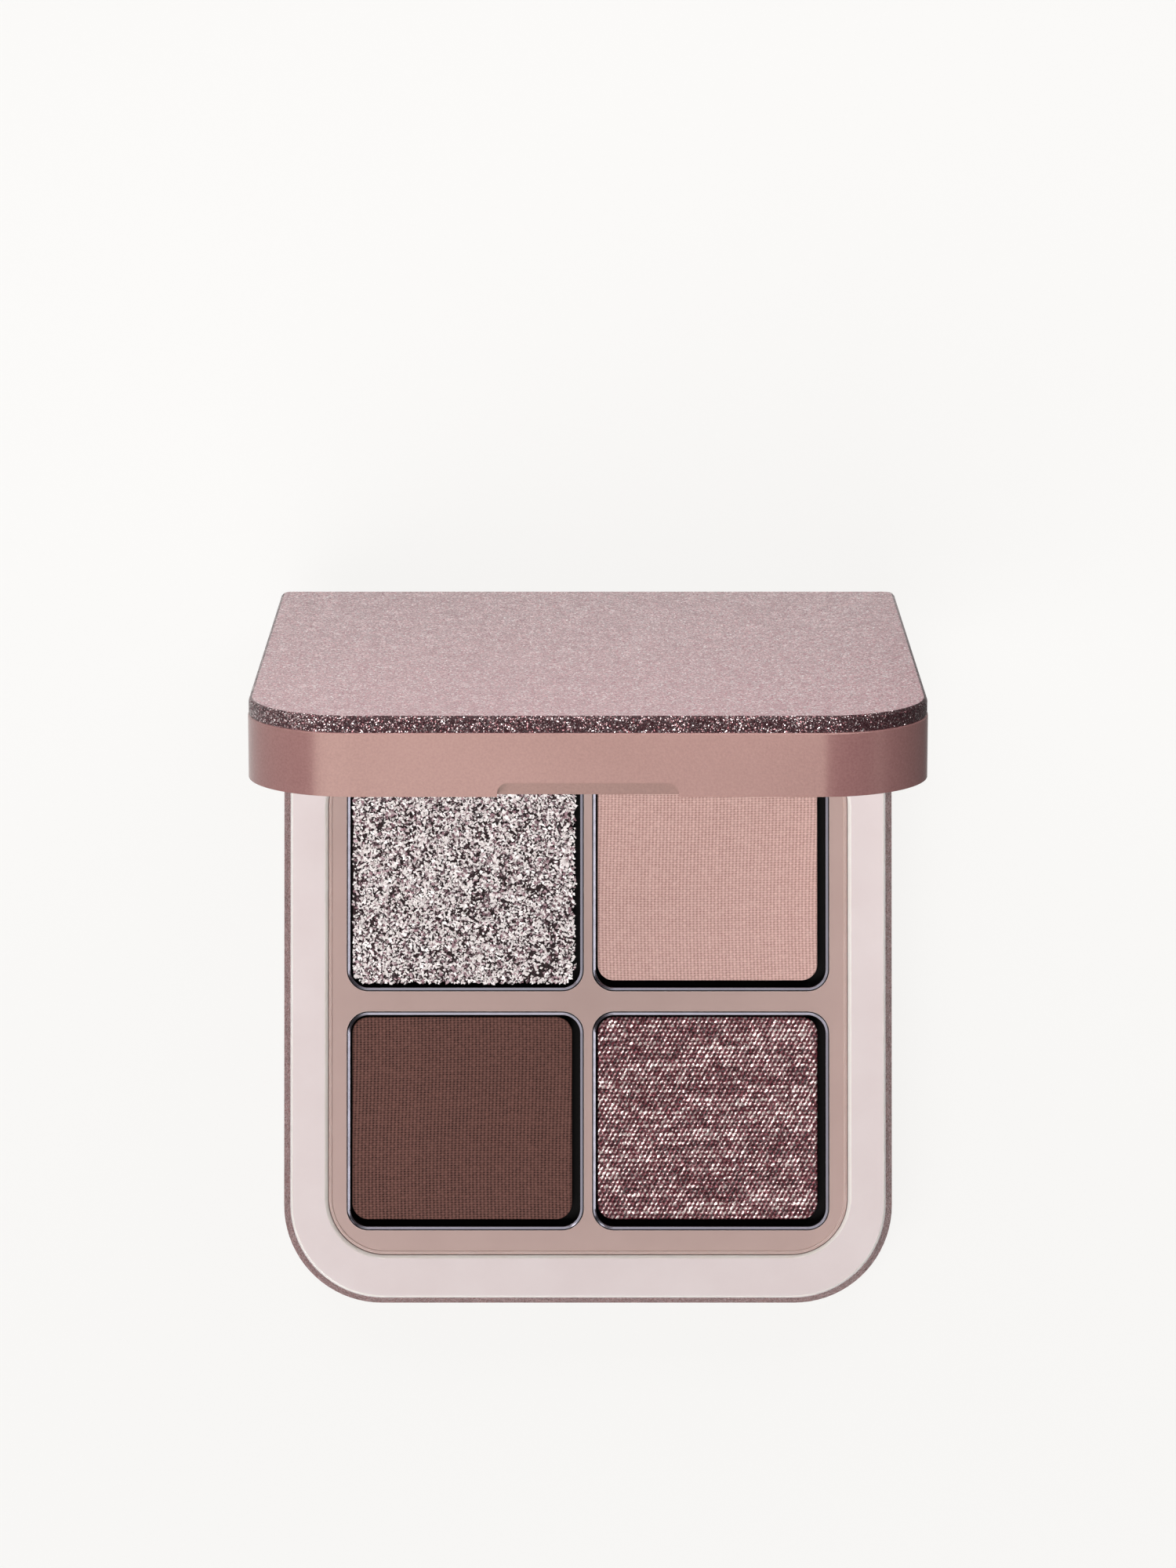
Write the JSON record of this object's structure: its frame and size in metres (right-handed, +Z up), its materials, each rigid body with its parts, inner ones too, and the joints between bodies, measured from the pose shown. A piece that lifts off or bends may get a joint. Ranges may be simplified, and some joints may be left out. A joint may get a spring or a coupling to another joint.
{
  "type": "eyeshadow palette",
  "caption": "Compact eyeshadow palette with a hinged mirror lid, a sparkling cap, a pale frame and pressed powders in metal pans.",
  "frame": {"origin": "middle of the base's underside, on the surface that it rests on", "axes": "+Z up, +X to the user's right, -Y towards the user and the finger notch, hinge along X at the back"},
  "size_m": [0.0666, 0.0776, 0.077],
  "materials": {
    "rose_matte": "soft-touch matte",
    "rose_sparkle": "fine glitter under a smooth clear skin",
    "pale_gloss": "smooth gloss",
    "tan_satin": "satin",
    "pan_metal": "bright drawn metal",
    "mirror_glass": "polished",
    "tape": "plain",
    "glue": "plain",
    "magnet": "nickel plated",
    "pin_steel": "drawn wire",
    "powder_glitter": "pressed glitter flakes",
    "powder_pink": "pressed matte powder with a woven surface",
    "powder_brown": "pressed matte powder with a woven surface",
    "powder_plum": "pressed metallic powder with a woven surface"
  },
  "bodies": {
    "base": {"base_frame": "rose_sparkle", "bottom_panel": "rose_sparkle", "rim_plate": "pale_gloss", "pan_deck": "tan_satin", "hinge_pin_left": "pin_steel", "hinge_pin_right": "pin_steel", "base_magnet_left": "magnet", "base_magnet_right": "magnet", "pan_rear_left": "pan_metal", "glue_rear_left": "glue", "pan_rear_right": "pan_metal", "glue_rear_right": "glue", "pan_front_left": "pan_metal", "glue_front_left": "glue", "pan_front_right": "pan_metal", "glue_front_right": "glue", "powder_glitter": "powder_glitter", "powder_pink": "powder_pink", "powder_brown": "powder_brown", "powder_plum": "powder_plum"},
    "lid": {"lid_frame": "rose_matte", "lid_panel": "rose_sparkle", "lid_bezel": "rose_matte", "mirror": "mirror_glass", "mirror_tape": "tape", "lid_magnet_left": "magnet", "lid_magnet_right": "magnet"}
  },
  "joints": [
    {"name": "lid_hinge", "type": "hinge", "parent": "base", "child": "lid", "pos_m": [0, 0.03386, 0.0076], "axis": [-1, 0, 0], "range_deg": [-77.5, 42.5]}
  ]
}
